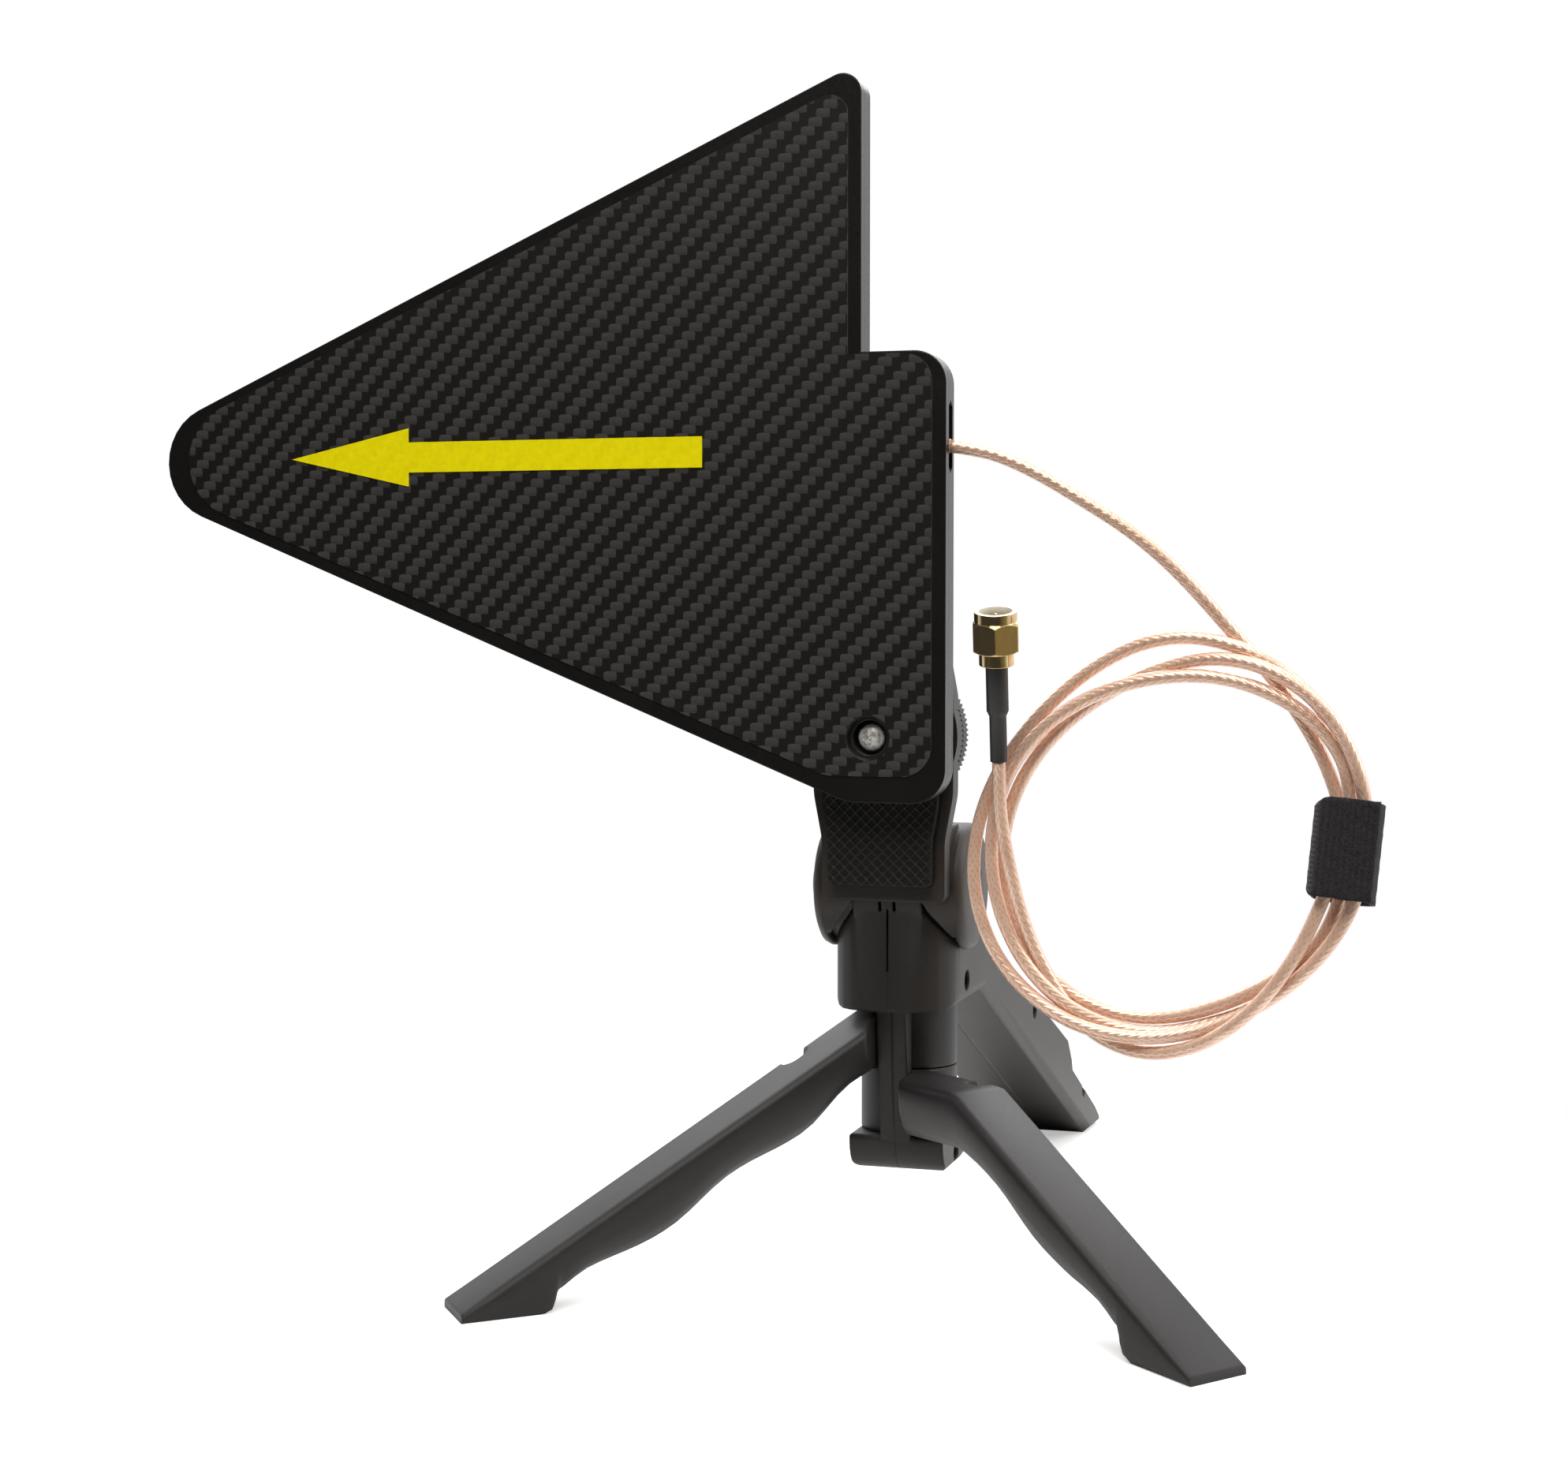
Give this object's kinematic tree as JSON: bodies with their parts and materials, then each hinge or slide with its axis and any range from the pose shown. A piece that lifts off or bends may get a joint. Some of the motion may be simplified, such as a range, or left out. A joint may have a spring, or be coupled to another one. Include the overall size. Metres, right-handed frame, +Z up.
{
  "type": "directional antenna",
  "caption": "Flat wedge-shaped log-periodic antenna panel on a tilting mini tripod with folding legs, a pistol grip and a tied coaxial cable that ends in a screw-on plug.",
  "frame": {"origin": "on the table under the middle of the tripod and panel, measured without the free cable", "axes": "+Z up, -Y the way the panel's patterned face looks, -X towards the panel's nose; the tilt axis lies along X"},
  "size_m": [0.2381, 0.2186, 0.2259],
  "materials": {
    "shell_black": "fine satin moulded plastic",
    "plate_black": "smooth black plate edges",
    "carbon": "carbon twill pattern under a clear film",
    "decal_yellow": "printed yellow",
    "board_green": "glass-fibre circuit board",
    "copper": "bare copper",
    "pad_rubber": "rubber with a diamond pattern",
    "steel": "bright steel",
    "bolt_black": "black",
    "coax_jacket": "translucent brown jacket over braid",
    "strap_black": "hook-and-loop tape",
    "shrink_black": "heat-shrink sleeve",
    "gold": "gold plated",
    "ptfe": "white"
  },
  "bodies": {
    "base": {"body_left": "shell_black", "body_right": "shell_black", "body_screws": "bolt_black", "leg_post": "shell_black"},
    "head": {"platform": "shell_black", "platform_pad": "pad_rubber", "tilt_bolt": "bolt_black", "tilt_nut": "steel", "thread_insert": "bolt_black", "front_plate": "plate_black", "carbon_film": "carbon", "arrow_decal": "decal_yellow", "core_frame": "plate_black", "antenna_board": "board_green", "radiator_front": "copper", "radiator_rear": "copper", "rear_plate": "plate_black", "feed_coax": "coax_jacket", "coax_lead": "coax_jacket", "coax_coil": "coax_jacket", "coax_tail": "coax_jacket", "coil_strap": "strap_black", "heat_shrink": "shrink_black", "sma_body": "gold", "sma_insulator": "ptfe", "sma_pin": "gold"},
    "screw": {"camera_screw": "steel", "screw_wheel": "shell_black"},
    "left_leg": {"leg_left": "shell_black"},
    "right_leg": {"leg_right": "shell_black"},
    "coupling": {"sma_nut": "gold"}
  },
  "joints": [
    {"name": "head_tilt", "type": "hinge", "parent": "base", "child": "head", "pos_m": [0.03553, -0.04593, 0.075], "axis": [1, 0, 0], "range_deg": [-90, 0]},
    {"name": "leg_left_swing", "type": "hinge", "parent": "base", "child": "left_leg", "pos_m": [0.03553, -0.03973, 0.0447], "axis": [0, 0, 1], "range_deg": [-128, 0]},
    {"name": "leg_right_swing", "type": "hinge", "parent": "base", "child": "right_leg", "pos_m": [0.03553, -0.03973, 0.0337], "axis": [0, 0, 1], "range_deg": [0, 128]},
    {"name": "wheel_turn", "type": "hinge", "parent": "head", "child": "screw", "pos_m": [0.03553, -0.05473, 0.1045], "axis": [0, 1, 0], "continuous": true},
    {"name": "plug_nut_turn", "type": "hinge", "parent": "head", "child": "coupling", "pos_m": [0.06114, -0.07907, 0.12368], "axis": [0.0303, -0.2588, 0.9654], "continuous": true}
  ]
}
